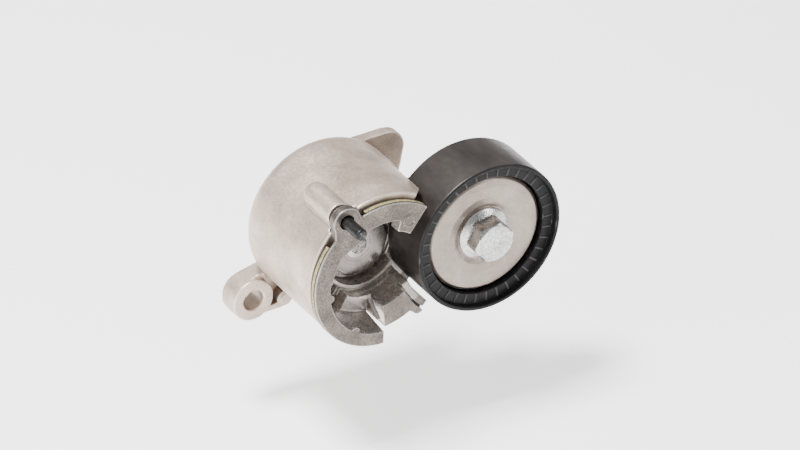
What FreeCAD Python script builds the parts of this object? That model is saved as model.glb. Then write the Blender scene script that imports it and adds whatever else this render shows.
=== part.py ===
import FreeCAD, Part
import math
import os
from FreeCAD import Vector

# Belt tensioner with a swing arm and an idler pulley, in millimetres.
# The parts are drawn about the pivot axis as Z, from the mounting plane (0) to the front,
# and turned on export so that the pivot axis is level and the front faces -Y.

# ---- housing ----
housing_r = 33.0
housing_wall = 4.0
housing_front = 54.4
housing_floor = 5.0
housing_back_round = 9.5
floor_round = 6.0
opening_back = 18.0
opening_margin_deg = 4.9
opening_bottom_deg = -124.0
corner_drop = 8.0
corner_span_deg = 12.5
front_round = 0.7
pivot_boss_r = 10.0
pivot_boss_top = 10.8

# ---- ears of the housing ----
ear_set_out = 11.0
ear_deg = 222.25
ear_r = 9.0
ear_height = 10.0
ear_web_height = 8.0
ear_web_slope_deg = 12.0
ear_web_foot = 18.0
ear_pocket_floor = 3.0
ear_rib = 2.6
ear_hole_r = 4.5
lug_set_out = 5.55
lug_deg = 243.8
lug_r = 3.6
lug_pad_r = 2.2
lug_pad_height = 0.6
flange_height = 4.5
flange_top = 24.8
flange_right = 40.2
flange_corner_r = 8.0
flange_toe = 5.0
flange_hole_r = 3.2
flange_hole_depth = 3.0
ear_low_slope_deg = 6.0
ear_foot_x = -9.0
ear_foot_top = -19.0
ear_foot_bottom = -31.0
flange_taper = 1.4
flange_side_y = 9.0

# ---- lock pin ----
lock_set_out = 1.0
lock_deg = 122.3
lock_boss_r = 5.2
lock_boss_back = 35.0
lock_counterbore_r = 7.2
lock_counterbore_depth = 2.2
pin_r = 2.5
pin_out = 11.0
pin_tip = 0.9
pin_hole_clearance = 0.6
pin_mouth_depth = 1.6
lock_hole_depth = 14.0

# ---- pivot ----
pivot_r = 6.0
bush_wall = 1.5
bush_length = 8.0
tube_wall = 3.5
disc_r = 12.9
disc_front = 36.1
disc_thick = 2.0
disc_dish = 0.5
disc_rim = 3.4
disc_centre = 1.6
rivet_r = 3.4
rivet_height = 0.5
washer_thick = 1.5

# ---- arm ----
web_back = 29.6
web_front = 32.6
sleeve_room = 1.2
skirt_wall = 2.3
front_skirt_gap = 0.5
skirt_back = 12.5
hub_lip_r = 17.8
hub_lip_wall = 1.8
hub_lip_front = 39.3
hub_shelf_front = 38.4
rim_front = 58.4
rim_x = -1.3
rim_y = -1.0
rim_set_in = 1.3
rim_width = 8.0
rim_lip = 0.9
rim_from_deg = 53.4
rim_to_deg = 269.0
segment_width = 3.8
segment_end_top_deg = 15.0
segment_end_low_deg = 21.5
rim_seat_depth = 3.7
rim_bottom_extra = 2.6
ledge_front = 44.0
ledge_from_deg = 238.0
ledge_to_deg = 273.0
ledge_inner_r = 18.6
ear_thick = 3.7
lock_ear_r = 6.1
tab_to_deg = 72.0
tab_inner_r = 19.0
tab_depth = 5.5
tab_pad_r = 2.9
tab_pad_height = 0.35
tab_pad_deg = 62.5
tab_pad_set_in = 7.5
parting_width = 0.35
parting_depth = 0.3
stop_lug_r = 1.7
stop_lug_height = 2.6
stop_lug_degs = (188.0, 239.0)
lobe_front = 51.0
lobe_from_deg = -84.5
lobe_to_deg = -50.0
lobe_inner_r = 20.9
lobe_set_in = 2.0
gusset_wide = 1.8
gusset_front = 52.0
shelf_from_deg = 232.0
shelf_to_deg = 322.0
beam_back = 20.5
beam_root_r = 16.0
beam_root_x = 10.0
beam_root_y = -3.0
boss_r = 12.5

# ---- pulley ----
pulley_nest = 14.2
pulley_r = 32.5
pulley_width = 24.0
pulley_front = 58.4
pulley_wall = 3.2
pulley_lip = 2.0
pulley_recess = 2.6
pulley_flange = 3.0
pulley_web = 4.0
pulley_ribs = 36
rib_width = 0.7
rib_height = 0.4
rib_inset = 0.4
cover_room = 0.7
pulley_guard_gap = 2.6
guard_wall = 3.0
guard_from_deg = 203.0
guard_to_deg = 228.0
guard_front = 49.6
groove_width = 0.8
groove_depth = 2.5

# ---- bearing 6203 and its fittings ----
bearing_r = 20.0
bearing_bore_r = 8.5
bearing_width = 12.0
bearing_seat_wall = 3.0
race_half_gap = 2.95
ball_r = 3.37
ball_count = 8
groove_clearance = 0.05
cage_thick = 0.8
seal_thick = 0.9
seal_inset = 0.3
cover_r = 25.3
cover_sheet = 0.8
cover_depth = 6.0
cover_rise = 2.6
cover_flat_r = 13.4
spacer_r = 9.5
shield_set_in = 1.0
shield_dish = 0.5
bolt_r = 5.0
bolt_clearance = 0.2
bolt_flange_r = 11.15
bolt_flange_thick = 2.4
bolt_flange_edge = 0.9
hex_flats = 16.0
hex_turn_deg = 8.0
bolt_head_height = 9.7
bolt_length = 34.0

# ---- spring and damping ----
spring_room = 4.0
wire_r = 2.1
spring_turns = 4.0
seat_height = 2.4
sleeve_front = 29.0
sleeve_back = 14.0
sleeve_end_deg = 4.5

# ---- clearances ----
gap = 0.3
running = 0.05
opening_gap = 0.4

BIG = 400.0


def polar(r, deg):
    """Point of the plane at a radius and an angle."""
    return r * math.cos(math.radians(deg)), r * math.sin(math.radians(deg))


def cyl(r, z0, z1, x=0.0, y=0.0):
    """Cylinder along the pivot axis."""
    return Part.makeCylinder(r, z1 - z0, Vector(x, y, z0))


def tube(r_out, r_in, z0, z1, x=0.0, y=0.0):
    """Hollow cylinder along the pivot axis."""
    return cyl(r_out, z0, z1, x, y).cut(cyl(r_in, z0, z1, x, y))


def prism(points, z0, z1):
    """Straight-sided block on a closed outline."""
    outline = [Vector(x, y, z0) for x, y in points]
    wire = Part.makePolygon(outline + outline[:1])
    return Part.Face(wire).extrude(Vector(0, 0, z1 - z0))


def spin(profile, x=0.0, y=0.0):
    """Solid of revolution from (radius, height) points."""
    points = [Vector(x + r, y, z) for r, z in profile]
    wire = Part.makePolygon(points + points[:1])
    return Part.Face(wire).revolve(Vector(x, y, 0), Vector(0, 0, 1), 360)


def sector(r, from_deg, to_deg, z0, z1):
    """Pie slice of a disc, anticlockwise from one angle to the other."""
    slice_ = Part.makeCylinder(r, z1 - z0, Vector(0, 0, z0), Vector(0, 0, 1), to_deg - from_deg)
    slice_.rotate(Vector(0, 0, 0), Vector(0, 0, 1), from_deg)
    return slice_


def band(r_out, r_in, from_deg, to_deg, z0, z1):
    """Arc-shaped wall."""
    return sector(r_out, from_deg, to_deg, z0, z1).cut(cyl(r_in, z0, z1))


def hull(x0, y0, r0, x1, y1, r1, z0, z1):
    """Plate round two circles, with straight tangent sides."""
    reach = math.hypot(x1 - x0, y1 - y0)
    along = math.degrees(math.atan2(y1 - y0, x1 - x0))
    spread = math.degrees(math.acos((r0 - r1) / reach))
    corners = []
    for cx, cy, r, side in ((x0, y0, r0, 1), (x1, y1, r1, 1), (x1, y1, r1, -1), (x0, y0, r0, -1)):
        dx, dy = polar(r, along + side * spread)
        corners.append((cx + dx, cy + dy))
    plate = prism(corners, z0, z1)
    return plate.fuse([cyl(r0, z0, z1, x0, y0), cyl(r1, z0, z1, x1, y1)])


def round_edges_at(shape, z, r, radius):
    """Round the full circles of one radius at one height."""
    edges = []
    for edge in shape.Edges:
        curve = edge.Curve
        if isinstance(curve, Part.Circle) and abs(curve.Radius - radius) < 1e-6:
            if abs(curve.Center.z - z) < 1e-6:
                edges.append(edge)
    return shape.makeFillet(r, edges)


# ---- outlines of the casting ----
# inner edge of the web that joins the lock ear to the rim, from the pivot axis
ear_web_outline = [(-8.9, 20.1), (-6.5, 24.0), (-9.5, 27.2), (-23.4, 19.8), (-22.8, 15.4),
                   (-20.2, 13.4), (-14.2, 16.4)]
# toe of the lobe: distance outside the pulley guard, and angle about the pulley axis
toe_outline = [(4.2, 219.6), (3.6, 226.0), (2.0, 227.5), (0.0, 228.0), (-0.3, 215.6)]

# ---- places shared by several parts ----
arm_length = pulley_r + pulley_nest
lock_x, lock_y = polar(housing_r + lock_set_out, lock_deg)
inner_r = housing_r - housing_wall
ear_x, ear_y = polar(housing_r + ear_set_out, ear_deg)
lug_x, lug_y = polar(housing_r + lug_set_out, lug_deg)
skirt_r = inner_r - sleeve_room
front_skirt_r = inner_r - front_skirt_gap
rim_r = housing_r - rim_set_in
lobe_r = housing_r - lobe_set_in
spring_mean_r = skirt_r - skirt_wall - wire_r - spring_room
tube_bore_r = pivot_r + bush_wall
tube_r = tube_bore_r + tube_wall
tube_back = pivot_boss_top + opening_gap
disc_back = disc_front - disc_thick
washer_back = disc_back - washer_thick
recess_r = hub_lip_r - hub_lip_wall
rim_inner_r = rim_r - rim_width
rim_seat_r = rim_r - segment_width
rim_seat_back = rim_front - rim_seat_depth
lock_rim_deg = math.degrees(math.atan2(lock_y - rim_y, lock_x - rim_x))
tap_x, tap_y = flange_right - flange_corner_r, flange_top - flange_corner_r
ear_back = rim_front - ear_thick
guard_r = pulley_r + pulley_guard_gap
pulley_back = pulley_front - pulley_width
boss_front = pulley_back - opening_gap
cover_seat = pulley_front - cover_depth
bearing_back = cover_seat - bearing_width
ball_pitch_r = (bearing_r + bearing_bore_r) / 2
ball_z = bearing_back + bearing_width / 2
race_thick = (bearing_r - bearing_bore_r) / 2 - race_half_gap
shield_r = bearing_r - shield_set_in
pulley_edge_cos = (arm_length ** 2 + housing_r ** 2 - pulley_r ** 2) / (2 * arm_length * housing_r)
opening_top_deg = math.degrees(math.acos(pulley_edge_cos)) + opening_margin_deg
bolt_seat = cover_seat + cover_sheet
bore_clear_r = bolt_r + bolt_clearance


def make_housing():
    """Cup with a rounded back, a side opening, a lock boss and two mounting ears."""
    body = round_edges_at(cyl(housing_r, 0, housing_front), 0, housing_back_round, housing_r)
    body = round_edges_at(body, housing_front, front_round, housing_r).cut(make_corner_cut())
    lock_boss = cyl(lock_boss_r, lock_boss_back, housing_front, lock_x, lock_y)
    lock_boss = lock_boss.fuse(Part.makeSphere(lock_boss_r, Vector(lock_x, lock_y, lock_boss_back)))
    body = body.fuse([lock_boss, make_ear(), make_flange()])
    cavity = round_edges_at(cyl(inner_r, housing_floor, housing_front + 1), housing_floor,
                            floor_round, inner_r)
    body = body.cut(cavity).fuse(cyl(pivot_boss_r, 1, pivot_boss_top))
    opening = sector(BIG / 4, opening_bottom_deg, opening_top_deg, opening_back, BIG)
    lock_hole = cyl(pin_r + pin_hole_clearance, housing_front - lock_hole_depth, BIG, lock_x, lock_y)
    counterbore = cyl(lock_counterbore_r, housing_front - lock_counterbore_depth, BIG, lock_x, lock_y)
    pivot_hole = cyl(pivot_r, -1, BIG)
    ear_hole = cyl(ear_hole_r, -1, ear_height + 1, ear_x, ear_y)
    dowel_hole = cyl(flange_hole_r, -1, flange_hole_depth, tap_x, tap_y)
    return body.cut([opening, lock_hole, counterbore, pivot_hole, ear_hole, dowel_hole])


def make_ear():
    """Ear with a round boss, a web with a pocket, and a small lug at the foot of the web."""
    slope, low = ear_web_slope_deg, ear_low_slope_deg

    def outline(inset):
        top_x, top_y = polar(ear_r - inset, 90 + slope)
        run_x, run_y = polar(ear_web_foot, slope)
        low_x, low_y = polar(ear_r - inset, low - 90)
        return [(ear_x + top_x, ear_y + top_y), (ear_x + top_x + run_x, ear_y + top_y + run_y),
                (ear_foot_x, ear_foot_top - inset), (ear_foot_x, ear_foot_bottom + inset),
                (lug_x, lug_y - lug_r + inset), (ear_x + low_x, ear_y + low_y)]

    web = prism(outline(0), 0, ear_web_height)
    boss = cyl(ear_r, 0, ear_height, ear_x, ear_y)
    lug = cyl(lug_r, 0, ear_web_height, lug_x, lug_y)
    pad = cyl(lug_pad_r, 0, ear_web_height + lug_pad_height, lug_x, lug_y)
    pocket = prism(outline(ear_rib), ear_pocket_floor, ear_web_height + 1)
    return web.cut(pocket).fuse([boss, lug, pad])


def make_flange():
    """Flat corner of the casting on the upper right, with one rounded corner."""
    plate = prism([(0, 0), (0, flange_top), (tap_x, flange_top), (tap_x, tap_y),
                   (flange_right, tap_y), (flange_right - flange_taper, flange_side_y),
                   (flange_right - flange_toe, -flange_toe), (housing_r / 2, -housing_r / 3)],
                  0, flange_height)
    return plate.fuse(cyl(flange_corner_r, 0, flange_height, tap_x, tap_y))


def make_corner_cut():
    """Wedge that slants the front corner of the wall at the top of the opening."""
    start_deg = opening_top_deg + corner_span_deg
    run = housing_r * math.radians(corner_span_deg)
    outline = [Vector(0, 0, 0), Vector(run, 0, -corner_drop), Vector(3 * run, 0, -3 * corner_drop),
               Vector(3 * run, 0, corner_drop), Vector(0, 0, corner_drop), Vector(0, 0, 0)]
    block = Part.Face(Part.makePolygon(outline)).extrude(Vector(0, 4 * housing_wall, 0))
    block.rotate(Vector(0, 0, 0), Vector(0, 0, 1), start_deg - 90)
    x, y = polar(housing_r - 2 * housing_wall, start_deg)
    block.translate(Vector(x, y, housing_front))
    return block


def make_arm():
    """Swing arm: pivot tube, skirt, rim, lock ear, end tab, lobe, pulley guard and boss."""
    hub = cyl(hub_lip_r, web_front, hub_lip_front)
    shelf = sector(lobe_inner_r + 1, shelf_from_deg, shelf_to_deg, web_front, hub_shelf_front)
    arm = cyl(tube_r, tube_back, web_front).fuse([
        cyl(skirt_r, web_back, web_front),
        tube(skirt_r, skirt_r - skirt_wall, skirt_back, web_back),
        hub, shelf, make_rim(), make_ledge(), make_lobe(), make_beam()])
    arm = arm.cut([cyl(recess_r, washer_back - running, BIG), cyl(tube_bore_r, -1, BIG)])
    arm = arm.cut([cyl(guard_r, boss_front, BIG, arm_length, 0), cyl(bolt_r, -1, BIG, arm_length, 0)])
    return arm


def make_rim():
    """C-shaped rim with its seat for the friction segments, lock ear and end tab."""
    def rim_band(r_out, r_in, from_deg, to_deg, z0, z1):
        piece = band(r_out, r_in, from_deg, to_deg, z0, z1)
        piece.translate(Vector(rim_x, rim_y, 0))
        return piece

    lip = rim_band(rim_r, rim_inner_r, rim_from_deg, rim_to_deg, rim_front - rim_lip, rim_front)
    seat = rim_band(rim_seat_r, rim_inner_r, rim_from_deg, rim_to_deg, rim_seat_back, rim_front)
    wall = rim_band(2 * rim_r, rim_inner_r, rim_from_deg, rim_to_deg, web_front, rim_seat_back)
    wall = wall.common(cyl(front_skirt_r, web_front, rim_seat_back))
    lock_ear = cyl(lock_ear_r, ear_back, rim_front, lock_x, lock_y)
    neck = []
    for deg in (15, 200):
        dx, dy = polar(lock_ear_r - 0.3, deg)
        neck.append((lock_x + dx, lock_y + dy))
    web = prism(ear_web_outline[:3] + neck + ear_web_outline[3:], ear_back, rim_front)
    tab = rim_band(rim_r, tab_inner_r, rim_from_deg - 1, tab_to_deg, rim_front - tab_depth, rim_front)
    rebate = tube(rim_r + 1, rim_seat_r, rim_front - tab_depth - 1, rim_front - rim_lip, rim_x, rim_y)
    pad_x, pad_y = polar(rim_r - tab_pad_set_in, tab_pad_deg)
    pad = cyl(tab_pad_r, rim_front - 1, rim_front + tab_pad_height, rim_x + pad_x, rim_y + pad_y)
    rim = lip.fuse([seat, wall, lock_ear, web, tab.cut(rebate), pad])
    shift = rim_bottom_extra / 2
    wide = Part.makeCone(rim_inner_r - 1, rim_inner_r + shift, rim_front - ledge_front,
                         Vector(rim_x + 0.3, rim_y - shift, ledge_front))
    wide = wide.common(sector(BIG / 4, 175, 300, ledge_front, rim_front))
    pin_hole = cyl(pin_r + running, ear_back - 1, BIG, lock_x, lock_y)
    mouth = cyl(pin_r + pin_hole_clearance, rim_front - pin_mouth_depth, BIG, lock_x, lock_y)
    parting = Part.makeBox(parting_width, rim_r, parting_depth * 2,
                           Vector(rim_x, 0, rim_front - parting_depth))
    rim = rim.cut([wide, pin_hole, mouth, parting])
    lugs = []
    for deg in stop_lug_degs:
        bottom = max(0.0, -math.sin(math.radians(deg))) * shift
        lug_cx, lug_cy = polar(rim_inner_r + bottom + stop_lug_r / 2, deg)
        lugs.append(cyl(stop_lug_r, rim_front - stop_lug_height, rim_front - 0.2,
                        rim_x + lug_cx, rim_y + lug_cy))
    return rim.fuse(lugs)


def make_ledge():
    """Raised block between the hub and the bottom of the rim, with a sloped rib on its end."""
    block = band(rim_inner_r + 2, ledge_inner_r, ledge_from_deg, ledge_to_deg, web_front, ledge_front)
    low, high = -ledge_inner_r - 1, -rim_inner_r - 2.5
    slope = Part.makePolygon([Vector(0, low, web_front), Vector(0, low, ledge_front),
                              Vector(0, high, gusset_front), Vector(0, high, web_front),
                              Vector(0, low, web_front)])
    rib = Part.Face(slope).extrude(Vector(gusset_wide, 0, 0))
    rib.translate(Vector(-gusset_wide / 2, 0, 0))
    return block.fuse(rib)


def make_beam():
    """Beam from the skirt to the boss that carries the pulley bolt."""
    beam = hull(beam_root_x, beam_root_y, beam_root_r, arm_length, 0, boss_r, beam_back, boss_front)
    return beam.cut(cyl(skirt_r - skirt_wall, -1, web_back))


def make_lobe():
    """Block on the lower right of the hub, with the wall that guards the pulley."""
    lobe = sector(lobe_r, lobe_from_deg, lobe_to_deg, web_back, lobe_front)
    toe = prism([polar(guard_r + guard_wall + out, deg) for out, deg in toe_outline],
                hub_shelf_front, lobe_front)
    toe.translate(Vector(arm_length, 0, 0))
    groove_r = guard_r + guard_wall + groove_width
    groove = cyl(groove_r, lobe_front - groove_depth, BIG, arm_length, 0)
    lobe = lobe.fuse(toe).cut([cyl(lobe_inner_r, -1, BIG), groove])
    guard = sector(guard_r + guard_wall, guard_from_deg, guard_to_deg, web_back, guard_front)
    guard.translate(Vector(arm_length, 0, 0))
    return lobe.fuse(guard)


def make_friction_segment(from_deg, to_deg):
    """Arc that lies behind the lip of the rim."""
    segment = band(rim_r, rim_seat_r, from_deg, to_deg, rim_seat_back, rim_front - rim_lip)
    segment.translate(Vector(rim_x, rim_y, 0))
    return segment


def make_spring():
    """Torsion spring in the housing, round the pivot tube."""
    start = housing_floor + seat_height + wire_r + gap / 2
    room = web_back - gap - wire_r - start
    helix = Part.makeHelix(room / spring_turns, room, spring_mean_r)
    helix.translate(Vector(0, 0, start))
    section = Part.Wire(Part.makeCircle(wire_r, Vector(spring_mean_r, 0, start), Vector(0, 1, 0)))
    return Part.Wire(helix).makePipeShell([section], True, True)


def make_pulley():
    """Flat belt pulley with a bearing seat, a web and a ribbed flange round the dust cover."""
    lip_in = pulley_r - pulley_lip
    wall_in = pulley_r - pulley_wall
    flange_in = cover_r + cover_room
    recess_front = pulley_front - pulley_recess
    flange_back = recess_front - pulley_flange
    seat_r = bearing_r + bearing_seat_wall
    web_back_z = ball_z - pulley_web / 2
    web_front_z = ball_z + pulley_web / 2
    shell = spin([
        (bearing_r, bearing_back), (bearing_r, cover_seat), (seat_r, cover_seat),
        (seat_r, web_front_z), (wall_in, web_front_z), (wall_in, flange_back),
        (flange_in, flange_back), (flange_in, recess_front), (lip_in, recess_front),
        (lip_in + 0.4, pulley_front), (pulley_r, pulley_front), (pulley_r, pulley_back),
        (wall_in, pulley_back), (wall_in, web_back_z), (seat_r, web_back_z),
        (seat_r, bearing_back)], arm_length, 0)
    ribs = []
    for index in range(pulley_ribs):
        rib = Part.makeBox(lip_in - flange_in - 2 * rib_inset, rib_width, rib_height + 0.5,
                           Vector(flange_in + rib_inset, -rib_width / 2, recess_front - 0.5))
        rib.rotate(Vector(0, 0, 0), Vector(0, 0, 1), 360.0 * index / pulley_ribs)
        rib.translate(Vector(arm_length, 0, 0))
        ribs.append(rib)
    return shell.fuse(ribs)


def make_race(inner):
    """Inner or outer bearing ring with its ball groove."""
    if inner:
        ring = tube(bearing_bore_r + race_thick, bearing_bore_r, bearing_back, cover_seat)
    else:
        ring = tube(bearing_r, bearing_r - race_thick, bearing_back, cover_seat)
    groove = Part.makeTorus(ball_pitch_r, ball_r + groove_clearance, Vector(0, 0, ball_z))
    ring = ring.cut(groove)
    ring.translate(Vector(arm_length, 0, 0))
    return ring


def make_balls():
    """The balls of the bearing."""
    balls = []
    for index in range(ball_count):
        x, y = polar(ball_pitch_r, 360.0 * index / ball_count)
        balls.append(Part.makeSphere(ball_r, Vector(arm_length + x, y, ball_z)))
    return Part.makeCompound(balls)


def make_cage():
    """Flat ball cage with a round pocket for each ball."""
    side = bearing_width / 2 - seal_thick - seal_inset - gap
    cage = tube(ball_pitch_r + cage_thick, ball_pitch_r - cage_thick, ball_z - side / 2, ball_z + side / 2)
    for index in range(ball_count):
        x, y = polar(ball_pitch_r, 360.0 * index / ball_count)
        cage = cage.cut(Part.makeSphere(ball_r + groove_clearance, Vector(x, y, ball_z)))
    cage = cage.fuse(tube(ball_pitch_r + cage_thick, ball_pitch_r - cage_thick,
                          ball_z - side, ball_z - side / 2))
    for index in range(ball_count):
        x, y = polar(ball_pitch_r, 360.0 * index / ball_count)
        cage = cage.cut(Part.makeSphere(ball_r + groove_clearance, Vector(x, y, ball_z)))
    cage.translate(Vector(arm_length, 0, 0))
    return cage


def make_seal(z0):
    """Bearing seal, fixed in the outer ring, just clear of the inner ring."""
    return tube(bearing_r - race_thick, bearing_bore_r + race_thick + 0.15, z0, z0 + seal_thick,
                arm_length, 0)


def make_dust_cover():
    """Dished sheet cover between the bolt's flange and the inner ring."""
    low, high = cover_seat, cover_seat + cover_rise
    sheet = cover_sheet
    flat_in = cover_flat_r - 2 * sheet
    return spin([
        (bore_clear_r, low), (flat_in, low), (cover_flat_r + 1.2, high - sheet),
        (cover_r - 2.0, high - sheet), (cover_r - 1.0, low + 0.5), (cover_r, low + 0.5),
        (cover_r, high - 0.5), (cover_r - 0.9, high), (cover_flat_r + 0.9, high),
        (flat_in - 0.3, low + sheet), (bore_clear_r, low + sheet)], arm_length, 0)


def make_bolt():
    """Hexagon flange bolt through the bearing into the arm."""
    head_front = bolt_seat + bolt_head_height
    corner_r = hex_flats / math.sqrt(3)
    hexagon = prism([polar(corner_r, 60 * side + hex_turn_deg) for side in range(6)],
                    bolt_seat, head_front)
    chamfer = spin([(0, bolt_seat), (corner_r + 1, bolt_seat), (corner_r + 1, head_front - 1.6),
                    (hex_flats / 2 - 0.6, head_front), (0, head_front)])
    flange_top_z = bolt_seat + bolt_flange_thick
    flange = spin([(0, bolt_seat), (bolt_flange_r, bolt_seat),
                   (bolt_flange_r, bolt_seat + bolt_flange_edge),
                   (hex_flats / 2, flange_top_z), (0, flange_top_z)])
    shank = cyl(bolt_r, bolt_seat - bolt_length, bolt_seat)
    bolt = hexagon.common(chamfer).fuse([flange, shank])
    bolt.translate(Vector(arm_length, 0, 0))
    return bolt


def make_lock_pin():
    """Straight pin with a rounded tip, held in the ear of the arm."""
    back = ear_back + gap / 2
    front = rim_front + pin_out
    pin = cyl(pin_r, back, front - pin_tip, lock_x, lock_y)
    tip = Part.makeCone(pin_r, pin_r - pin_tip, pin_tip, Vector(lock_x, lock_y, front - pin_tip))
    return pin.fuse(tip)


def make_spacer():
    """Collar between the boss of the arm and the rear shield."""
    return tube(spacer_r, bore_clear_r, boss_front, bearing_back - cover_sheet, arm_length, 0)


def make_rear_shield():
    """Thin dished shield behind the bearing."""
    back = bearing_back - cover_sheet
    step_r = bearing_bore_r + race_thick
    rear = back - shield_dish
    return spin([(bore_clear_r, back), (step_r, back), (step_r + 1, rear), (shield_r, rear),
                 (shield_r, rear + cover_sheet), (step_r + 0.6, rear + cover_sheet),
                 (step_r - 0.4, bearing_back), (bore_clear_r, bearing_back)], arm_length, 0)


def make_sleeve_of_bearing():
    """Steel sleeve between the bolt and the bore of the inner ring."""
    return tube(bearing_bore_r, bore_clear_r, bearing_back, cover_seat, arm_length, 0)


def make_disc():
    """Steel disc riveted on the front end of the pivot pin."""
    dish = disc_front - disc_dish
    return spin([(pivot_r, disc_back), (disc_r - disc_dish, disc_back), (disc_r, disc_back + disc_dish),
                 (disc_r, disc_front - 0.2), (disc_r - 0.6, disc_front), (disc_r - disc_rim, dish),
                 (pivot_r + disc_centre, dish), (pivot_r, disc_front)])


def make_pivot_pin():
    """Pivot pin pressed into the housing, riveted over the disc."""
    pin = cyl(pivot_r, 0, disc_front)
    return pin.fuse(cyl(rivet_r, disc_front, disc_front + rivet_height))


parts = {
    "housing": make_housing(),
    "pivot_pin": make_pivot_pin(),
    "pivot_disc": make_disc(),
    "thrust_washer": tube(disc_r - 0.9, pivot_r, washer_back, disc_back),
    "rear_bush": tube(tube_bore_r, pivot_r + running, tube_back, tube_back + bush_length),
    "front_bush": tube(tube_bore_r, pivot_r + running, washer_back - running - bush_length,
                       washer_back - running),
    "torsion_spring": make_spring(),
    "spring_seat": tube(spring_mean_r + wire_r + 1, spring_mean_r - wire_r - 1, housing_floor,
                        housing_floor + seat_height),
    "damping_sleeve": band(inner_r, skirt_r + gap, opening_top_deg + sleeve_end_deg,
                           opening_bottom_deg + 360 - sleeve_end_deg, sleeve_back, sleeve_front),
    "arm": make_arm(),
    "friction_segment_upper": make_friction_segment(rim_from_deg, lock_rim_deg - segment_end_top_deg),
    "friction_segment_lower": make_friction_segment(lock_rim_deg + segment_end_low_deg, rim_to_deg - 1),
    "lock_pin": make_lock_pin(),
    "pulley": make_pulley(),
    "bearing_outer_ring": make_race(False),
    "bearing_inner_ring": make_race(True),
    "bearing_balls": make_balls(),
    "ball_cage": make_cage(),
    "front_seal": make_seal(cover_seat - seal_inset - seal_thick),
    "rear_seal": make_seal(bearing_back + seal_inset),
    "bearing_sleeve": make_sleeve_of_bearing(),
    "rear_spacer": make_spacer(),
    "rear_shield": make_rear_shield(),
    "dust_cover": make_dust_cover(),
    "pulley_bolt": make_bolt(),
}

os.makedirs("parts", exist_ok=True)
for name, shape in parts.items():
    placed = shape.removeSplitter() if len(shape.Solids) == 1 else shape
    placed.rotate(Vector(0, 0, 0), Vector(1, 0, 0), 90)
    if not placed.isValid() or placed.Volume <= 0:
        raise ValueError(name + " is not a sound solid")
    print(name, len(placed.Solids), round(placed.Volume, 1))
    placed.exportStep("parts/" + name + ".step")
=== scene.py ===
import math

import bmesh
import bpy
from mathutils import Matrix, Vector, noise


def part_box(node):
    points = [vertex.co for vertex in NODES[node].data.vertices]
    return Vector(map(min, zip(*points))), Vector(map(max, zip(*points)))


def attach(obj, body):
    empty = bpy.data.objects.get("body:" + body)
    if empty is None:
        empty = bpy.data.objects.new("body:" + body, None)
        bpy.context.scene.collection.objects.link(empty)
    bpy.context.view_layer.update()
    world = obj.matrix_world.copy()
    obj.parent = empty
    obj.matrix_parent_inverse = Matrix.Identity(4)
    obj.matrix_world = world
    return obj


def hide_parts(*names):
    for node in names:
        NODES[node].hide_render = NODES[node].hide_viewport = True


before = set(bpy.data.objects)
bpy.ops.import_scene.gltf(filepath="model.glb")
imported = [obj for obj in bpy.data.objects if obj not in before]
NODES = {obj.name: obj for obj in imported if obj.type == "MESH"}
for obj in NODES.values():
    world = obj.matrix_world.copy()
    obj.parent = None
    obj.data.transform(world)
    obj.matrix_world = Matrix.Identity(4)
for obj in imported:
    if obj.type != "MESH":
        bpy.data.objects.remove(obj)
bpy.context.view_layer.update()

MM = 0.001

# ---- the camera ----
VIEW_AZIMUTH = -31.2                  # degrees round from the front
VIEW_ELEVATION = 32.7                 # degrees above level
VIEW_DISTANCE = 3.116                 # metres from the point aimed at
VIEW_LENS = 360.0                     # mm
SENSOR_WIDTH = 36.0                   # mm
AIM_POINT = Vector((0.0091, -0.0524, 0.0154))

# ---- the room ----
FLOOR_SIZE = 8.0                      # metres
FLOOR_GAP = 0.0005                    # metres left under the pulley when it hangs lowest
SKY_STRENGTH = 0.66
HORIZON_GREY = 0.42
ZENITH_GREY = 1.15
LIGHTS = (                            # name, place and size in metres, power in watts
    ("key", (-0.32, 0.02, 1.05), (0.30, 0.30), 33.0),
    ("left", (-1.05, -0.15, 0.35), (0.30, 0.70), 10.0),
    ("right", (0.75, -0.95, 0.45), (0.12, 0.90), 4.5),
)

# ---- sizes of the pieces and materials made here, in mm unless they say otherwise ----
PULLEY_WALL = 3.2                     # under the belt
PULLEY_LIP = 2.0                      # round the front recess
PULLEY_RECESS = 2.6                   # depth of the front recess
PULLEY_FLANGE = 3.0                   # thickness behind the front recess
PULLEY_WEB_HALF = 2.0                 # half the thickness of the web
PULLEY_SEAT_WALL = 3.0                # round the bearing
PULLEY_RIBS = 36                      # count
RIB_HEIGHT = 0.40
RIB_SIDE = ((0.45, -0.2), (0.40, 0.10), (0.22, 0.34))    # half width at each height, foot first
COVER_ROOM = 0.7                      # between the dust cover and the pulley
COVER_SHEET = 0.8                     # thickness of the pressing
COVER_BORE_INSET = 3.3                # from the bearing sleeve's outside to the cover's bore
BOLT_HEAD = 9.7                       # from the seat to the top of the head
BOLT_FLATS = 16.0                     # across the flats
BOLT_CORNER = 0.45                    # taken off each corner of the hexagon
BOLT_FLANGE_R = 11.15
BOLT_SHANK_R = 5.0
BOLT_TURN = 8.0                       # degrees
PIVOT_R = 6.0                         # the pivot pin
BUTTON_R = 3.5                        # the pivot pin's beaten end
PEEN_DEPTH = 0.45                     # of the dents in that end
PAD_R = 2.9                           # the round pad on the arm's end tab
PAD_PLACE = (9.9, 20.5)               # right of the pivot and above it
ARM_FACE = 50.2                       # the front faces of the arm lie beyond this distance
ARM_SKIN_R = 30.2                     # the inside of the arm's skirt

PIVOT = Vector((0.0, 0.0, 0.0))


# =====================================================================
# places read from the CAD frame: a middle in metres, other distances in mm
# =====================================================================
def middle(node):
    """Centre of a CAD node's box."""
    low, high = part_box(node)
    return (Vector(low) + Vector(high)) / 2


def front_of(node):
    """Distance of a node's front end from the mounting plane, towards the viewer."""
    return -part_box(node)[0][1] / MM


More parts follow.
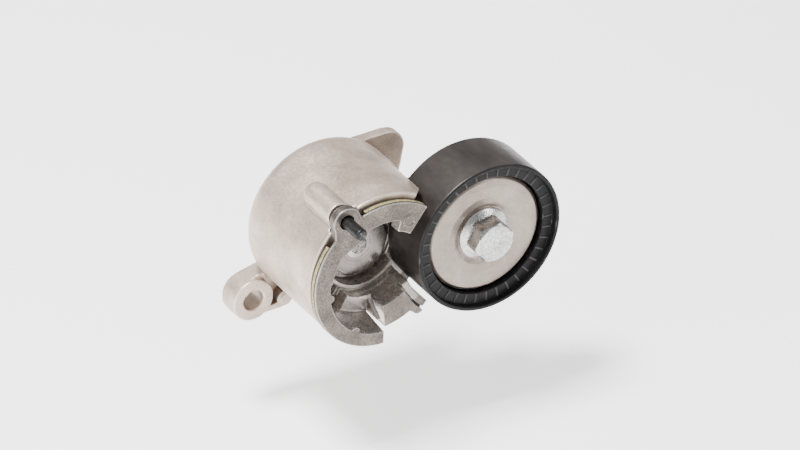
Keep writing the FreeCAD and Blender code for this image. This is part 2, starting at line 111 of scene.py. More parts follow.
def back_of(node):
    """Distance of a node's back end from the mounting plane."""
    return -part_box(node)[1][1] / MM


def radius_of(node):
    """Radius of a round node whose axis is parallel to Y."""
    low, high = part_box(node)
    return (high[0] - low[0]) / 2 / MM


PULLEY_AXIS = middle("pulley")
PIN_AXIS = middle("lock_pin")


# =====================================================================
# node-tree helpers
# =====================================================================
def tinted(colour, shares):
    """A colour with each channel scaled by its own share."""
    return tuple(channel * share for channel, share in zip(colour, shares))


def set_stops(band, stops):
    """Fills a colour ramp; each stop is (position, grey or colour)."""
    while len(band.elements) < len(stops):
        band.elements.new(1.0)
    for element, (position, value) in zip(band.elements, stops):
        element.position = position
        colour = value if isinstance(value, tuple) else (value, value, value)
        element.color = (*colour, 1.0)


class Nodes:
    """A material being built: short calls that add and join shader nodes."""

    def __init__(self, name):
        self.material = bpy.data.materials.new(name)
        self.material.use_nodes = True
        self.tree = self.material.node_tree
        self.shader = self.tree.nodes["Principled BSDF"]
        self.place = self.add("ShaderNodeTexCoord").outputs["Object"]

    def add(self, kind, **values):
        node = self.tree.nodes.new(kind)
        for key, value in values.items():
            setattr(node, key, value)
        return node

    def join(self, source, target):
        self.tree.links.new(source, target)

    def feed(self, target, value):
        """Joins a socket, or sets a plain value."""
        if isinstance(value, bpy.types.NodeSocket):
            self.join(value, target)
        else:
            target.default_value = value

    def stretched(self, x, y, z):
        """Object coordinates scaled along each axis."""
        node = self.add("ShaderNodeMapping")
        self.join(self.place, node.inputs["Vector"])
        node.inputs["Scale"].default_value = (x, y, z)
        return node.outputs["Vector"]

    def noise(self, scale, detail, rough, place=None, distortion=0.0):
        node = self.add("ShaderNodeTexNoise")
        self.join(place or self.place, node.inputs["Vector"])
        node.inputs["Scale"].default_value = scale
        node.inputs["Detail"].default_value = detail
        node.inputs["Roughness"].default_value = rough
        node.inputs["Distortion"].default_value = distortion
        return node.outputs["Fac"]

    def cells(self, scale):
        """Distance to the nearest of many scattered points."""
        node = self.add("ShaderNodeTexVoronoi")
        self.join(self.place, node.inputs["Vector"])
        node.inputs["Scale"].default_value = scale
        return node.outputs["Distance"]

    def ramp(self, source, *stops):
        """Colour or grey ramp; each stop is (position, grey or colour)."""
        node = self.add("ShaderNodeValToRGB")
        self.join(source, node.inputs["Fac"])
        set_stops(node.color_ramp, stops)
        return node.outputs["Color"]

    def math(self, operation, *values):
        node = self.add("ShaderNodeMath", operation=operation)
        for socket, value in zip(node.inputs, values):
            self.feed(socket, value)
        return node.outputs[0]

    def mix(self, share, a, b, blend="MIX"):
        node = self.add("ShaderNodeMix", data_type="RGBA", blend_type=blend)
        self.feed(node.inputs["Factor"], share)
        self.feed(node.inputs["A"], a if isinstance(a, bpy.types.NodeSocket) else (*a, 1.0))
        self.feed(node.inputs["B"], b if isinstance(b, bpy.types.NodeSocket) else (*b, 1.0))
        return node.outputs["Result"]

    def radius(self, centre):
        """Distance from an axis parallel to Y."""
        shift = self.add("ShaderNodeVectorMath", operation="SUBTRACT")
        self.join(self.place, shift.inputs[0])
        shift.inputs[1].default_value = centre
        flat = self.add("ShaderNodeVectorMath", operation="MULTIPLY")
        self.join(shift.outputs["Vector"], flat.inputs[0])
        flat.inputs[1].default_value = (1.0, 0.0, 1.0)
        length = self.add("ShaderNodeVectorMath", operation="LENGTH")
        self.join(flat.outputs["Vector"], length.inputs[0])
        return length.outputs["Value"]

    def forward(self):
        """Distance in front of the mounting plane."""
        split = self.add("ShaderNodeSeparateXYZ")
        self.join(self.place, split.inputs["Vector"])
        return self.math("MULTIPLY", split.outputs["Y"], -1.0)

    def facing(self):
        """How squarely a surface faces the front, from -1 to 1."""
        dot = self.add("ShaderNodeVectorMath", operation="DOT_PRODUCT")
        self.join(self.add("ShaderNodeTexCoord").outputs["Normal"], dot.inputs[0])
        dot.inputs[1].default_value = (0.0, -1.0, 0.0)
        return dot.outputs["Value"]

    def step(self, value, dark, bright):
        """0 at the first limit and past it, 1 at the second limit and past it."""
        node = self.add("ShaderNodeMapRange", interpolation_type="SMOOTHSTEP")
        self.join(value, node.inputs["Value"])
        node.inputs["From Min"].default_value = min(dark, bright)
        node.inputs["From Max"].default_value = max(dark, bright)
        node.inputs["To Min"].default_value = 0.0 if dark < bright else 1.0
        node.inputs["To Max"].default_value = 1.0 if dark < bright else 0.0
        return node.outputs["Result"]

    def crevice_shade(self, distance, samples):
        """Ambient occlusion for painted shade: white in the open, dark in corners and hollows."""
        node = self.add("ShaderNodeAmbientOcclusion", samples=samples)
        node.inputs["Distance"].default_value = distance
        return node.outputs["AO"]

    def wear(self):
        """Bright on convex edges."""
        return self.add("ShaderNodeNewGeometry").outputs["Pointiness"]

    def bump(self, height, strength, distance, under=None):
        """Surface normal from a height, on top of the bump given as under."""
        node = self.add("ShaderNodeBump")
        self.feed(node.inputs["Strength"], strength)
        node.inputs["Distance"].default_value = distance
        self.join(height, node.inputs["Height"])
        if under is not None:
            self.join(under, node.inputs["Normal"])
        return node.outputs["Normal"]

    def finish(self, colour, rough, metallic, normal):
        self.feed(self.shader.inputs["Base Color"], colour)
        self.feed(self.shader.inputs["Roughness"], rough)
        self.shader.inputs["Metallic"].default_value = metallic
        self.join(normal, self.shader.inputs["Normal"])
        return self.material


# =====================================================================
# materials
# =====================================================================
def cast_metal(name, light, dark, rough, grain, speckle=0.80, skin_r=None):
    """Die-cast aluminium: fine grain, cloudy tone, painted shade in the corners and bright worn edges.
    A casting with a skin_r has the die's smooth skin within that radius of the pivot, darkened by painted
    shade in its hollows and on ledges that face the front."""
    m = Nodes(name)
    grit_strength = 0.42
    clouds = m.ramp(m.noise(70, 4, 0.6), (0.30, dark), (0.66, light))
    speck = m.ramp(m.noise(1500, 4, 0.8), (0.36, speckle), (0.62, 1.10))
    colour = m.mix(1.0, clouds, speck, "MULTIPLY")
    stains = m.ramp(m.noise(45, 6, 0.72, distortion=1.0), (0.50, 0.0), (0.76, 0.50))
    colour = m.mix(stains, colour, tinted(dark, (0.66, 0.60, 0.53)))
    # painted shade: ambient occlusion darkens the colour in corners and hollows
    shade = m.ramp(m.crevice_shade(5 * MM, 12), (0.25, 0.22), (0.80, 1.0))
    colour = m.mix(0.65, colour, shade, "MULTIPLY")
    edge = m.ramp(m.wear(), (0.515, 0.0), (0.56, 0.45))
    colour = m.mix(edge, colour, (0.93, 0.92, 0.90))
    rough_map = m.ramp(m.noise(900, 2, 0.6), (0.35, rough - 0.08), (0.70, rough + 0.10))
    if skin_r:
        inside = skin_mask(m, skin_r)
        skin_grit = 0.06
        # within the skin radius: the die skin's tone, with painted shade in its hollows and on ledges that
        # face the front
        colour = m.mix(inside, colour, skin_tone_and_painted_shade(m))
        skin_rough = m.ramp(m.noise(300, 3, 0.6), (0.35, 0.20), (0.70, 0.34))
        rough_map = m.mix(inside, rough_map, skin_rough)
        grit_strength = m.math("MULTIPLY_ADD", inside, skin_grit - grit_strength, grit_strength)
    grit = m.bump(m.noise(1500, 4, 0.75), grit_strength, grain * MM)
    pits = m.bump(m.ramp(m.cells(620), (0.0, 0.0), (0.22, 1.0)), 0.25, 0.03 * MM, grit)
    lumps = m.bump(m.noise(160, 2, 0.5), 0.35, 0.22 * MM, pits)
    return m.finish(colour, rough_map, 0.72, lumps)


def skin_mask(m, reach):
    """1 within reach of the pivot, 0 outside it and on the arm's front faces."""
    front = m.math("MULTIPLY", m.step(m.facing(), 0.70, 0.90),
                   m.step(m.forward(), (ARM_FACE - 0.8) * MM, ARM_FACE * MM))
    near = m.step(m.radius(PIVOT), reach * MM, (reach - 1.5) * MM)
    return m.math("MULTIPLY", m.math("SUBTRACT", 1.0, front), near)


def skin_tone_and_painted_shade(m):
    """Grey with soft flow marks and bright edges, with painted shade that darkens its hollows and the ledges
    that face the front.
    """
    flow = m.ramp(m.noise(120, 4, 0.6, m.stretched(1, 0.35, 1), 0.7),
                  (0.28, (0.46, 0.42, 0.385)), (0.74, (0.60, 0.55, 0.51)))
    # painted shade: ambient occlusion darkens the skin in its hollows
    painted_hollow_shade = m.ramp(m.crevice_shade(7 * MM, 16), (0.10, 0.40), (0.60, 1.0))
    skin = m.mix(0.6, flow, painted_hollow_shade, "MULTIPLY")
    # painted shade: surfaces inside the skin that face the front are darkened towards near-black
    ledge_painted_shade = m.math("MULTIPLY", m.step(m.facing(), 0.3, 0.9), 0.55)
    skin = m.mix(ledge_painted_shade, skin, (0.10, 0.088, 0.080))
    edge = m.ramp(m.wear(), (0.525, 0.0), (0.585, 0.55))
    return m.mix(edge, skin, (0.78, 0.76, 0.73))


def turned_metal(name, light, dark, centre, rough):
    """Lathe-turned steel: fine rings about the part's own axis, with faint stains and painted shade in the
    corners.
    """
    m = Nodes(name)
    reach = m.add("ShaderNodeCombineXYZ")
    m.join(m.radius(centre), reach.inputs["X"])
    rings = m.noise(900, 4, 0.8, reach.outputs["Vector"])
    tone = m.ramp(rings, (0.35, dark), (0.65, light))
    stains = m.ramp(m.noise(110, 4, 0.6, distortion=0.6), (0.50, 0.0), (0.75, 0.38))
    colour = m.mix(stains, tone, tinted(dark, (0.80, 0.72, 0.66)))
    # painted shade: ambient occlusion darkens the colour in corners
    shade = m.ramp(m.crevice_shade(0.8 * MM, 12), (0.20, 0.45), (0.70, 1.0))
    colour = m.mix(0.7, colour, shade, "MULTIPLY")
    rough_map = m.ramp(m.noise(260, 3, 0.6), (0.3, rough - 0.06), (0.7, rough + 0.10))
    grooves = m.bump(rings, 0.30, 0.025 * MM)
    dents = m.bump(m.noise(300, 3, 0.6), 0.12, 0.10 * MM, grooves)
    return m.finish(colour, rough_map, 0.92, dents)


def plated_metal(name, light, dark, rough, grain, metallic=0.88, pebble=0.0):
    """Zinc-plated steel: satin, slightly cloudy, with fine scratches.
    A pebble in mm roughens the faces that look to the front, like a forged bolt head."""
    m = Nodes(name)
    clouds = m.ramp(m.noise(90, 4, 0.6), (0.32, dark), (0.68, light))
    scratch = m.ramp(m.noise(420, 2, 0.6, m.stretched(1.0, 1.0, 9.0)), (0.62, 0.0), (0.74, 0.28))
    colour = m.mix(scratch, clouds, (0.95, 0.94, 0.92))
    rough_map = m.ramp(m.noise(500, 3, 0.65), (0.3, rough - 0.06), (0.7, rough + 0.12))
    grit = m.bump(m.noise(2600, 3, 0.7), 0.30, grain * MM)
    if pebble:
        pebbled = m.noise(1150, 3, 0.65, distortion=0.9)
        flat = m.step(m.facing(), 0.80, 0.95)
        mottled = m.mix(1.0, colour, m.ramp(pebbled, (0.40, 0.60), (0.60, 1.12)), "MULTIPLY")
        colour = m.mix(flat, colour, mottled)
        grit = m.bump(pebbled, m.math("MULTIPLY", flat, 0.75), pebble * MM, grit)
    return m.finish(colour, rough_map, metallic, grit)


def black_steel(name):
    """Blackened steel with rubbed, brighter patches."""
    m = Nodes(name)
    rubbed = m.ramp(m.noise(420, 4, 0.65, m.stretched(1.0, 0.25, 1.0)), (0.48, 0.0), (0.72, 0.40))
    colour = m.mix(rubbed, (0.016, 0.0155, 0.0155), (0.085, 0.08, 0.076))
    edge = m.ramp(m.wear(), (0.53, 0.0), (0.60, 0.35))
    colour = m.mix(edge, colour, (0.22, 0.21, 0.20))
    rough = m.ramp(m.noise(700, 3, 0.6), (0.3, 0.30), (0.7, 0.48))
    return m.finish(colour, rough, 0.75, m.bump(m.noise(1600, 3, 0.7), 0.25, 0.03 * MM))


def moulded_black(name, base, rough, belt_r=None):
    """Black nylon or rubber with fibre mottling and dust.
    On a piece with a belt_r, the belt leaves a brown polish at that radius."""
    m = Nodes(name)
    mottle = m.ramp(m.noise(260, 4, 0.65, m.stretched(1.0, 0.3, 1.0)), (0.35, 0.0), (0.70, 1.0))
    colour = m.mix(mottle, base, tinted(base, (1.9, 1.75, 1.7)))
    dust = m.ramp(m.noise(1900, 2, 0.6), (0.66, 0.0), (0.74, 0.10))
    colour = m.mix(dust, colour, (0.30, 0.28, 0.27))
    edge = m.ramp(m.wear(), (0.53, 0.0), (0.60, 0.30))
    colour = m.mix(edge, colour, (0.22, 0.21, 0.21))
    rough_map = m.ramp(m.noise(340, 3, 0.6), (0.3, rough - 0.05), (0.7, rough + 0.08))
    if belt_r:
        belt = m.step(m.radius(PULLEY_AXIS), (belt_r - 0.25) * MM, (belt_r - 0.1) * MM)
        film = m.ramp(m.noise(95, 4, 0.6, m.stretched(1.0, 0.4, 1.0)),
                      (0.35, (0.012, 0.0098, 0.0090)), (0.68, (0.034, 0.028, 0.0255)))
        colour = m.mix(belt, colour, film)
        polish = m.ramp(m.noise(420, 3, 0.6), (0.3, 0.30), (0.7, 0.42))
        rough_map = m.mix(belt, rough_map, polish)
        gloss = m.mix(belt, (0.14, 0.14, 0.14), (0.34, 0.34, 0.34))
        m.join(gloss, m.shader.inputs["Specular IOR Level"])
    skin = m.bump(m.noise(2300, 3, 0.7), 0.20, 0.02 * MM)
    return m.finish(colour, rough_map, 0.0, m.bump(m.noise(60, 2, 0.5), 0.10, 0.2 * MM, skin))


def friction_lining(name, front):
    """Granular olive and gold friction material, with painted shade at the foot and behind the lip."""
    m = Nodes(name)
    grains = m.ramp(m.cells(1500), (0.10, (0.12, 0.095, 0.04)), (0.45, (0.30, 0.24, 0.10)),
                    (0.80, (0.52, 0.44, 0.22)))
    patches = m.ramp(m.noise(160, 4, 0.6), (0.40, 0.0), (0.70, 0.55))
    colour = m.mix(patches, grains, (0.13, 0.12, 0.075))
    depth = m.forward()
    # painted shade: near-black at the foot, in the gap by the housing, and behind the rim's lip; the band
    # between keeps its colour
    clear_of_painted_shade = m.math("MULTIPLY", m.step(depth, (front - 2.15) * MM, (front - 1.7) * MM),
                    m.step(depth, (front - 0.25) * MM, (front - 0.75) * MM))
    colour = m.mix(clear_of_painted_shade, (0.030, 0.027, 0.020), colour)
    rough = m.ramp(m.noise(900, 3, 0.6), (0.3, 0.42), (0.7, 0.62))
    grit = m.bump(m.cells(1200), 0.55, 0.09 * MM)
    return m.finish(colour, rough, 0.35, m.bump(m.noise(2200, 3, 0.7), 0.4, 0.05 * MM, grit))


def peened_metal(name):
    """Steel end beaten over by hand: torn, dented and partly dark."""
    m = Nodes(name)
    torn = m.noise(620, 4, 0.7, distortion=1.6)
    colour = m.ramp(torn, (0.40, (0.05, 0.045, 0.045)), (0.50, (0.42, 0.39, 0.37)),
                    (0.66, (0.72, 0.69, 0.67)))
    rough = m.ramp(m.noise(900, 3, 0.6), (0.3, 0.22), (0.7, 0.40))
    return m.finish(colour, rough, 0.9, m.bump(torn, 0.9, PEEN_DEPTH * MM))


def moulded_plastic(name, light, dark):
    """Plain moulded plastic with a faint flow pattern."""
    m = Nodes(name)
    flow = m.ramp(m.noise(140, 4, 0.6, distortion=0.5), (0.35, 0.0), (0.70, 1.0))
    colour = m.mix(flow, light, dark)
    rough = m.ramp(m.noise(420, 3, 0.6), (0.3, 0.39), (0.7, 0.53))
    return m.finish(colour, rough, 0.0, m.bump(m.noise(1500, 3, 0.7), 0.2, 0.03 * MM))


def bronze(name):
    """Sintered bronze with oil-dark pores."""
    m = Nodes(name)
    grains = m.cells(1700)
    pores = m.ramp(grains, (0.05, (0.16, 0.10, 0.05)), (0.30, (0.50, 0.34, 0.16)))
    rough = m.ramp(m.noise(800, 3, 0.6), (0.3, 0.30), (0.7, 0.46))
    return m.finish(pores, rough, 0.85, m.bump(grains, 0.4, 0.03 * MM))


# =====================================================================
# mesh helpers
# =====================================================================
def rounded(points, radius, segments):
    """Closed outline with every corner rounded; a corner may carry its own radius as a third value."""
    count = len(points)
    outline = []
    for index in range(count):
        before = Vector(points[index - 1][:2])
        corner = Vector(points[index][:2])
        after = Vector(points[(index + 1) % count][:2])
        r = points[index][2] if len(points[index]) > 2 else radius
        to_before, to_after = before - corner, after - corner
        half = to_before.angle(to_after) / 2
        cut = min(r / math.tan(half), to_before.length * 0.45, to_after.length * 0.45)
        start = corner + to_before.normalized() * cut
        end = corner + to_after.normalized() * cut
        for step in range(segments + 1):
            t = step / segments
            outline.append((1 - t) ** 2 * start + 2 * t * (1 - t) * corner + t ** 2 * end)
    return [(p.x, p.y) for p in outline]


def new_object(name, bm, smooth_deg):
    """Mesh object from a bmesh, smooth but for edges sharper than smooth_deg."""
    bmesh.ops.remove_doubles(bm, verts=bm.verts, dist=1e-7)
    bmesh.ops.recalc_face_normals(bm, faces=bm.faces)
    mesh = bpy.data.meshes.new(name)
    bm.to_mesh(mesh)
    bm.free()
    mesh.shade_smooth()
    mesh.set_sharp_from_angle(angle=math.radians(smooth_deg))
    piece = bpy.data.objects.new(name, mesh)
    bpy.context.scene.collection.objects.link(piece)
    return piece


def lathe_into(bm, outline, axis, steps):
    """Closed ring of (radius, front distance) points in mm turned about a Y-parallel axis."""
    rings = []
    for step in range(steps):
        angle = 2 * math.pi * step / steps
        sin, cos = math.sin(angle), math.cos(angle)
        rings.append([bm.verts.new((axis.x + r * MM * cos, -h * MM, axis.z + r * MM * sin))
                      for r, h in outline])
    for step in range(steps):
        here, there = rings[step], rings[(step + 1) % steps]
        for index in range(len(outline)):
            after = (index + 1) % len(outline)
            if max(outline[index][0], outline[after][0]) > 1e-6:
                bm.faces.new((here[index], there[index], there[after], here[after]))


def lathe(name, outline, axis, steps, smooth_deg):
    """Turned piece of its own."""
    bm = bmesh.new()
    lathe_into(bm, outline, axis, steps)
    return new_object(name, bm, smooth_deg)


def dress(piece, material, body, slot, *replaced):
    """Gives a Blender piece its material and body, and hides the CAD nodes it stands for. The slot is not
    used.
    """
    piece.data.materials.clear()
    piece.data.materials.append(material)
    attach(piece, body)
    if replaced:
        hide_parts(*replaced)


def paint(node, material):
    """Material on a carried-over CAD node."""
    piece = NODES[node]
    piece.data.materials.clear()
    piece.data.materials.append(material)


def weld(piece):
    """Joins the CAD mesh's separate faces into one skin."""
    piece.modifiers.new("weld", "WELD").merge_threshold = 1e-6


def soften(node, voxel, passes, keep):
    """Turns a CAD casting's knife edges into small cast radii."""
    piece = NODES[node]
    weld(piece)
    remesh = piece.modifiers.new("remesh", "REMESH")
    remesh.mode = "VOXEL"
    remesh.voxel_size = voxel * MM
    remesh.use_smooth_shade = True
    smooth = piece.modifiers.new("smooth", "SMOOTH")
    smooth.factor = 0.5
    smooth.iterations = passes
    fewer = piece.modifiers.new("fewer", "DECIMATE")
    fewer.ratio = keep


def break_edges(node):
    """Small bevel on the sharp edges of a CAD node."""
    piece = NODES[node]
    weld(piece)
    bevel = piece.modifiers.new("bevel", "BEVEL")
    bevel.width = 0.15 * MM
    bevel.segments = 2
    bevel.limit_method = "ANGLE"
    bevel.angle_limit = math.radians(30)


# =====================================================================
# pieces made here; outlines are (radius, front distance, corner radius) in mm
# =====================================================================
def make_pulley():
    """Moulded pulley: rounded belt face, front recess with low radial ribs, web and bearing seat."""
    r, front, back = radius_of("pulley"), front_of("pulley"), back_of("pulley")
    seat_r = radius_of("bearing_outer_ring")
    seat_front, seat_back = front_of("bearing_outer_ring"), back_of("bearing_outer_ring")
    seat_out = seat_r + PULLEY_SEAT_WALL
    web = middle("bearing_balls").y / -MM
    web_front, web_back = web + PULLEY_WEB_HALF, web - PULLEY_WEB_HALF
    inside, lip = r - PULLEY_WALL, r - PULLEY_LIP
    flange_in = radius_of("dust_cover") + COVER_ROOM
    floor = front - PULLEY_RECESS
    underside = floor - PULLEY_FLANGE
    outline = rounded([
        (r, back, 1.0), (inside, back, 0.8), (inside, web_back, 1.2), (seat_out, web_back, 1.2),
        (seat_out, seat_back, 0.5), (seat_r, seat_back, 0.3), (seat_r, seat_front, 0.3),
        (seat_out, seat_front, 0.5), (seat_out, web_front, 1.2), (inside, web_front, 1.2),
        (inside, underside, 0.8), (flange_in, underside, 0.4), (flange_in, floor, 0.45),
        (lip, floor, 0.5), (lip + 0.35, front, 0.5), (r, front, 1.1)], 0.4, 5)
    bm = bmesh.new()
    lathe_into(bm, outline, PULLEY_AXIS, 216)
    for index in range(PULLEY_RIBS):
        add_rib(bm, 2 * math.pi * index / PULLEY_RIBS, flange_in + 0.25, lip - 0.15, floor)
    return new_object("pulley_moulding", bm, 40)


def add_rib(bm, angle, start, end, floor):
    """Low round-topped rib on the front recess, lower at both ends."""
    across = Vector((-math.sin(angle), 0, math.cos(angle)))
    outward = Vector((math.cos(angle), 0, math.sin(angle)))
    section = [(-half, h) for half, h in RIB_SIDE] + [(0.0, RIB_HEIGHT)] + list(reversed(RIB_SIDE))
    rings = []
    for reach, share in ((start, 0.3), (start + 0.4, 1.0), (end - 0.3, 1.0), (end, 0.5)):
        base = Vector((PULLEY_AXIS.x, -floor * MM, PULLEY_AXIS.z)) + outward * reach * MM
        rings.append([bm.verts.new(base + across * s * MM + Vector((0, -h * MM * share, 0)))
                      for s, h in section])
    for here, there in zip(rings, rings[1:]):
        for index in range(len(section) - 1):
            bm.faces.new((here[index], here[index + 1], there[index + 1], there[index]))
        bm.faces.new((here[-1], here[0], there[0], there[-1]))
    bm.faces.new(rings[0])
    bm.faces.new(rings[-1][::-1])


def make_dust_cover():
    """Pressed cover: rolled edge, flat face, rounded step down to the seat of the bolt."""
    r, front, seat = radius_of("dust_cover"), front_of("dust_cover"), back_of("dust_cover")
    bore = radius_of("bearing_sleeve") - COVER_BORE_INSET
    foot_r, step_r = 11.8, 14.6
    rear_face, seat_face = front - 1.0, seat + COVER_SHEET
    outline = rounded([
        (bore, seat, 0.1), (foot_r, seat, 0.5), (step_r, rear_face, 0.8), (r - 2.4, rear_face, 0.6),
        (r - 0.8, seat + 0.5, 0.2), (r, seat + 0.5, 0.2), (r, front - 1.7, 0.9),
        (r - 1.3, front - 0.50, 1.6), (r - 4.2, front, 2.6), (r - 7.5, front - 0.10, 3.0),
        (step_r + 2.4, front - 0.08, 2.4), (step_r - 1.0, front - 0.75, 2.0),
        (foot_r - 0.1, seat_face, 0.5), (bore, seat_face, 0.1)], 0.3, 10)
    return lathe("dust_cover_pressing", outline, PULLEY_AXIS, 192, 50)


def make_bolt():
    """Flange bolt: chamfered hexagon with soft corners, sloped flange and a plain shank."""
    front, back = front_of("pulley_bolt"), back_of("pulley_bolt")
    seat = front - BOLT_HEAD
    flat_r, corner_r = BOLT_FLATS / 2, BOLT_FLATS / math.sqrt(3) - BOLT_CORNER
    foot = seat + 1.6
    chamfer, chamfer_r, chamfer_slope = front - 0.35, flat_r - 0.35, 0.55
    steps = 180
    bm = bmesh.new()
    rings = []
    for step in range(steps):
        angle = 2 * math.pi * step / steps
        from_flat = math.radians((math.degrees(angle) - BOLT_TURN) % 60 - 30)
        reach = min(flat_r / math.cos(from_flat), corner_r)
        drop = (reach - chamfer_r) * chamfer_slope
        profile = ((reach, foot), (reach, chamfer - drop), (flat_r - 0.25, front - 0.12),
                   (flat_r - 0.75, front), (flat_r - 2.6, front))
        rings.append([bm.verts.new((PULLEY_AXIS.x + r * MM * math.cos(angle), -h * MM,
                                    PULLEY_AXIS.z + r * MM * math.sin(angle))) for r, h in profile])
    for step in range(steps):
        here, there = rings[step], rings[(step + 1) % steps]
        for index in range(len(here) - 1):
            bm.faces.new((here[index], there[index], there[index + 1], here[index + 1]))
    bm.faces.new([ring[-1] for ring in rings])
    bm.faces.new([ring[0] for ring in reversed(rings)])
    flange_top = seat + 2.5
    flange = rounded([
        (0.0, seat), (BOLT_FLANGE_R, seat, 0.3), (BOLT_FLANGE_R, seat + 0.95, 0.45),
        (flat_r + 0.3, seat + 2.3, 0.8), (flat_r - 0.6, flange_top), (0.0, flange_top)], 0.05, 4)
    lathe_into(bm, flange, PULLEY_AXIS, 144)
    shank_top = seat + 0.5
    shank = [(0.0, back), (BOLT_SHANK_R - 0.8, back), (BOLT_SHANK_R, back + 0.8),
             (BOLT_SHANK_R, shank_top), (0.0, shank_top)]
    lathe_into(bm, shank, PULLEY_AXIS, 96)
    return new_object("pulley_bolt_forging", bm, 30)


def make_lock_pin():
    """Straight pin with a rounded tip."""
    r, front, back = radius_of("lock_pin"), front_of("lock_pin"), back_of("lock_pin")
    outline = rounded([(0.0, back), (r - 0.3, back, 0.1), (r, back + 0.3, 0.1), (r, front, 0.95),
                       (0.0, front)], 0.05, 6)
    return lathe("lock_pin_turning", outline, PIN_AXIS, 96, 35)


def make_pivot_disc():
    """Turned disc on the pivot: a shallow cone that sinks from its rim to its centre."""
    r, front, back = radius_of("pivot_disc"), front_of("pivot_disc"), back_of("pivot_disc")
    outline = rounded([
        (PIVOT_R, back, 0.1), (r - 0.5, back, 0.3), (r, back + 0.5, 0.3), (r, front - 0.1, 0.45),
        (r - 0.9, front - 0.04, 0.4), (BUTTON_R, front - 0.36, 0.3),
        (BUTTON_R, front - 0.75, 0.1), (PIVOT_R, front - 0.75, 0.1)], 0.1, 8)
    return lathe("pivot_disc_turning", outline, PIVOT, 180, 50)


def make_pivot_pin():
    """Pivot pin with a low shouldered end, which the disc and the peened end cover."""
    front = front_of("pivot_pin")
    outline = rounded([
        (0.0, 0.0), (PIVOT_R - 0.4, 0.0, 0.2), (PIVOT_R, 0.5, 0.2), (PIVOT_R, front - 0.80, 0.1),
        (4.0, front - 0.72, 0.4), (3.4, front - 0.60, 0.2), (1.4, front - 0.52, 0.3),
        (0.0, front - 0.52)], 0.05, 5)
    return lathe("pivot_pin_turning", outline, PIVOT, 128, 50)


def make_peened_end():
    """Uneven button where the pin's end is beaten over the disc."""
    front = front_of("pivot_pin")
    outline = rounded([(0.0, front - 1.2), (BUTTON_R - 0.1, front - 1.2, 0.1),
                       (BUTTON_R, front - 0.3, 0.5), (2.4, front + 0.05, 0.8), (0.0, front - 0.05)], 0.05, 6)
    piece = lathe("peened_end", outline, PIVOT, 96, 70)
    for vertex in piece.data.vertices:
        dent = noise.noise(vertex.co * 900) * PEEN_DEPTH + noise.noise(vertex.co * 2100) * 0.2
        vertex.co.y += dent * MM
        vertex.co.x += noise.noise(vertex.co * 700 + Vector((5, 1, 2))) * PEEN_DEPTH * MM
        vertex.co.z += noise.noise(vertex.co * 700 + Vector((1, 7, 3))) * PEEN_DEPTH * MM
    return piece


def make_tab_pad():
    """Low round pad with a raised rim on the end tab of the arm."""
    floor = front_of("arm") - 0.35
    outline = rounded([
        (0.0, floor - 0.6), (PAD_R, floor - 0.6, 0.1), (PAD_R, floor + 0.35, 0.35),
        (PAD_R - 0.7, floor + 0.55, 0.3), (PAD_R - 1.2, floor + 0.28, 0.4), (0.0, floor + 0.30)], 0.05, 5)
    return lathe("tab_pad", outline, Vector((PAD_PLACE[0] * MM, 0, PAD_PLACE[1] * MM)), 96, 60)


# =====================================================================
# the assembly
# =====================================================================
aluminium = cast_metal("cast aluminium", (0.66, 0.535, 0.445), (0.41, 0.330, 0.270), rough=0.44, grain=0.06)
arm_metal = cast_metal("arm casting", (0.215, 0.180, 0.155), (0.090, 0.074, 0.063), rough=0.38, grain=0.10,
                       speckle=0.38, skin_r=ARM_SKIN_R)
disc_metal = turned_metal("turned disc", (0.24, 0.213, 0.197), (0.12, 0.105, 0.097), PIVOT, rough=0.18)
pin_metal = turned_metal("turned pin", (0.60, 0.56, 0.52), (0.40, 0.37, 0.33), PIVOT, rough=0.34)
bearing_metal = turned_metal("ground bearing steel", (0.66, 0.65, 0.64), (0.52, 0.51, 0.50), PULLEY_AXIS,
                             rough=0.18)
cover_metal = plated_metal("plated cover", (0.33, 0.277, 0.240), (0.24, 0.200, 0.172), rough=0.36,
                           grain=0.012)
bolt_metal = plated_metal("plated bolt", (0.64, 0.63, 0.62), (0.40, 0.395, 0.39), rough=0.20, grain=0.015,
                          metallic=1.0, pebble=0.18)
end_metal = peened_metal("peened end")
pin_black = black_steel("blackened pin")
spring_metal = black_steel("oiled spring steel")
pulley_black = moulded_black("black pulley moulding", (0.0045, 0.0045, 0.005), rough=0.42,
                             belt_r=radius_of("pulley"))
rubber = moulded_black("seal rubber", (0.014, 0.014, 0.014), rough=0.55)
lining = friction_lining("friction lining", front_of("friction_segment_lower"))
nylon = moulded_plastic("natural nylon", (0.72, 0.68, 0.56), (0.62, 0.57, 0.45))
bush_metal = bronze("sintered bronze")

soften("housing", voxel=0.42, passes=4, keep=0.38)
soften("arm", voxel=0.30, passes=4, keep=0.28)
paint("housing", aluminium)
paint("arm", arm_metal)

dress(make_pulley(), pulley_black, "pulley", "pulley_plastic", "pulley")
dress(make_dust_cover(), cover_metal, "arm", "cover_steel", "dust_cover")
dress(make_bolt(), bolt_metal, "arm", "bolt_steel", "pulley_bolt")
dress(make_tab_pad(), arm_metal, "arm", "cast_aluminium")
dress(make_lock_pin(), pin_black, "lock_pin", "black_steel", "lock_pin")
dress(make_pivot_disc(), disc_metal, "root", "steel_disc", "pivot_disc")
dress(make_pivot_pin(), pin_metal, "root", "steel", "pivot_pin")
dress(make_peened_end(), end_metal, "root", "steel")

for material, painted in (
        (lining, ("friction_segment_upper", "friction_segment_lower")),
        (cover_metal, ("rear_shield",)),
        (bearing_metal, ("rear_spacer", "bearing_sleeve", "bearing_inner_ring", "bearing_outer_ring",
                         "bearing_balls")),
        (spring_metal, ("torsion_spring",)),
        (rubber, ("front_seal", "rear_seal")),
        (bush_metal, ("rear_bush", "front_bush")),
        (nylon, ("ball_cage", "thrust_washer", "spring_seat", "damping_sleeve"))):
    for node in painted:
        paint(node, material)
        break_edges(node)


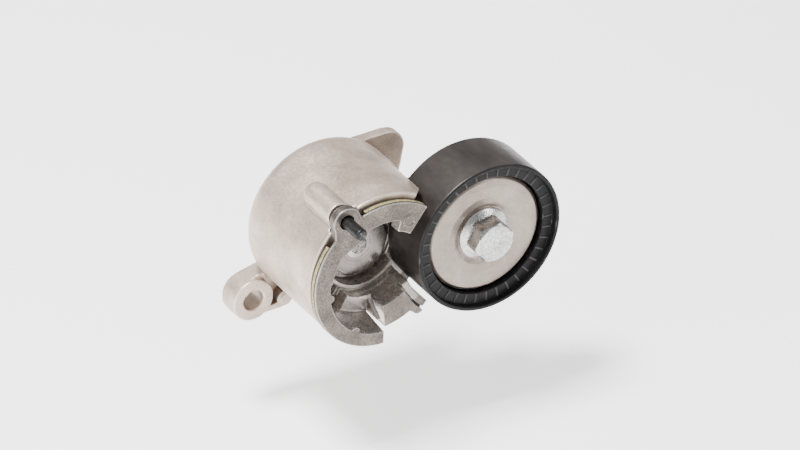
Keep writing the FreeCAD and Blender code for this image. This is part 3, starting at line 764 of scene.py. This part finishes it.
# =====================================================================
# the room
# =====================================================================
def make_floor():
    """Plain pale floor, low enough for the pulley to pass over it at any angle of the arm."""
    low = -(PULLEY_AXIS.x + radius_of("pulley") * MM)
    bpy.ops.mesh.primitive_plane_add(size=FLOOR_SIZE, location=(0.0, 0.0, low - FLOOR_GAP))
    floor = bpy.context.object
    floor.name = "floor"
    m = Nodes("pale floor")
    tone = m.ramp(m.noise(3, 2, 0.5), (0.3, 0.93), (0.7, 0.96))
    rough = m.ramp(m.noise(40, 2, 0.5), (0.3, 0.72), (0.7, 0.80))
    m.finish(tone, rough, 0.0, m.bump(m.noise(900, 2, 0.5), 0.05, 0.05 * MM))
    m.shader.inputs["Emission Color"].default_value = (1.0, 1.0, 1.0, 1.0)
    m.shader.inputs["Emission Strength"].default_value = 1.0
    floor.data.materials.append(m.material)


def make_light(name, place, size, power):
    """Soft panel that faces the object."""
    data = bpy.data.lights.new(name, "AREA")
    data.shape = "RECTANGLE"
    data.size, data.size_y = size
    data.energy = power
    panel = bpy.data.objects.new(name, data)
    panel.location = place
    panel.rotation_euler = (AIM_POINT - Vector(place)).to_track_quat("-Z", "Y").to_euler()
    bpy.context.scene.collection.objects.link(panel)


def make_world():
    """Bright sky over a darker horizon, so that bare metal has something to reflect."""
    world = bpy.data.worlds.new("studio")
    world.use_nodes = True
    tree = world.node_tree
    split = tree.nodes.new("ShaderNodeSeparateXYZ")
    tree.links.new(tree.nodes.new("ShaderNodeTexCoord").outputs["Generated"], split.inputs["Vector"])
    ramp = tree.nodes.new("ShaderNodeValToRGB")
    tree.links.new(split.outputs["Z"], ramp.inputs["Fac"])
    set_stops(ramp.color_ramp, ((0.0, HORIZON_GREY), (0.16, HORIZON_GREY), (0.42, 1.0), (1.0, ZENITH_GREY)))
    background = tree.nodes["Background"]
    tree.links.new(ramp.outputs["Color"], background.inputs["Color"])
    background.inputs["Strength"].default_value = SKY_STRENGTH
    bpy.context.scene.world = world


def make_camera():
    """Camera at the photograph's viewing angle."""
    azimuth, elevation = math.radians(VIEW_AZIMUTH), math.radians(VIEW_ELEVATION)
    away = Vector((math.sin(azimuth) * math.cos(elevation), -math.cos(azimuth) * math.cos(elevation),
                   math.sin(elevation)))
    data = bpy.data.cameras.new("camera")
    data.lens = VIEW_LENS
    data.sensor_width = SENSOR_WIDTH
    camera = bpy.data.objects.new("camera", data)
    camera.location = AIM_POINT + away * VIEW_DISTANCE
    camera.rotation_euler = (-away).to_track_quat("-Z", "Y").to_euler()
    bpy.context.scene.collection.objects.link(camera)
    bpy.context.scene.camera = camera


make_floor()
make_world()
for light in LIGHTS:
    make_light(*light)
make_camera()
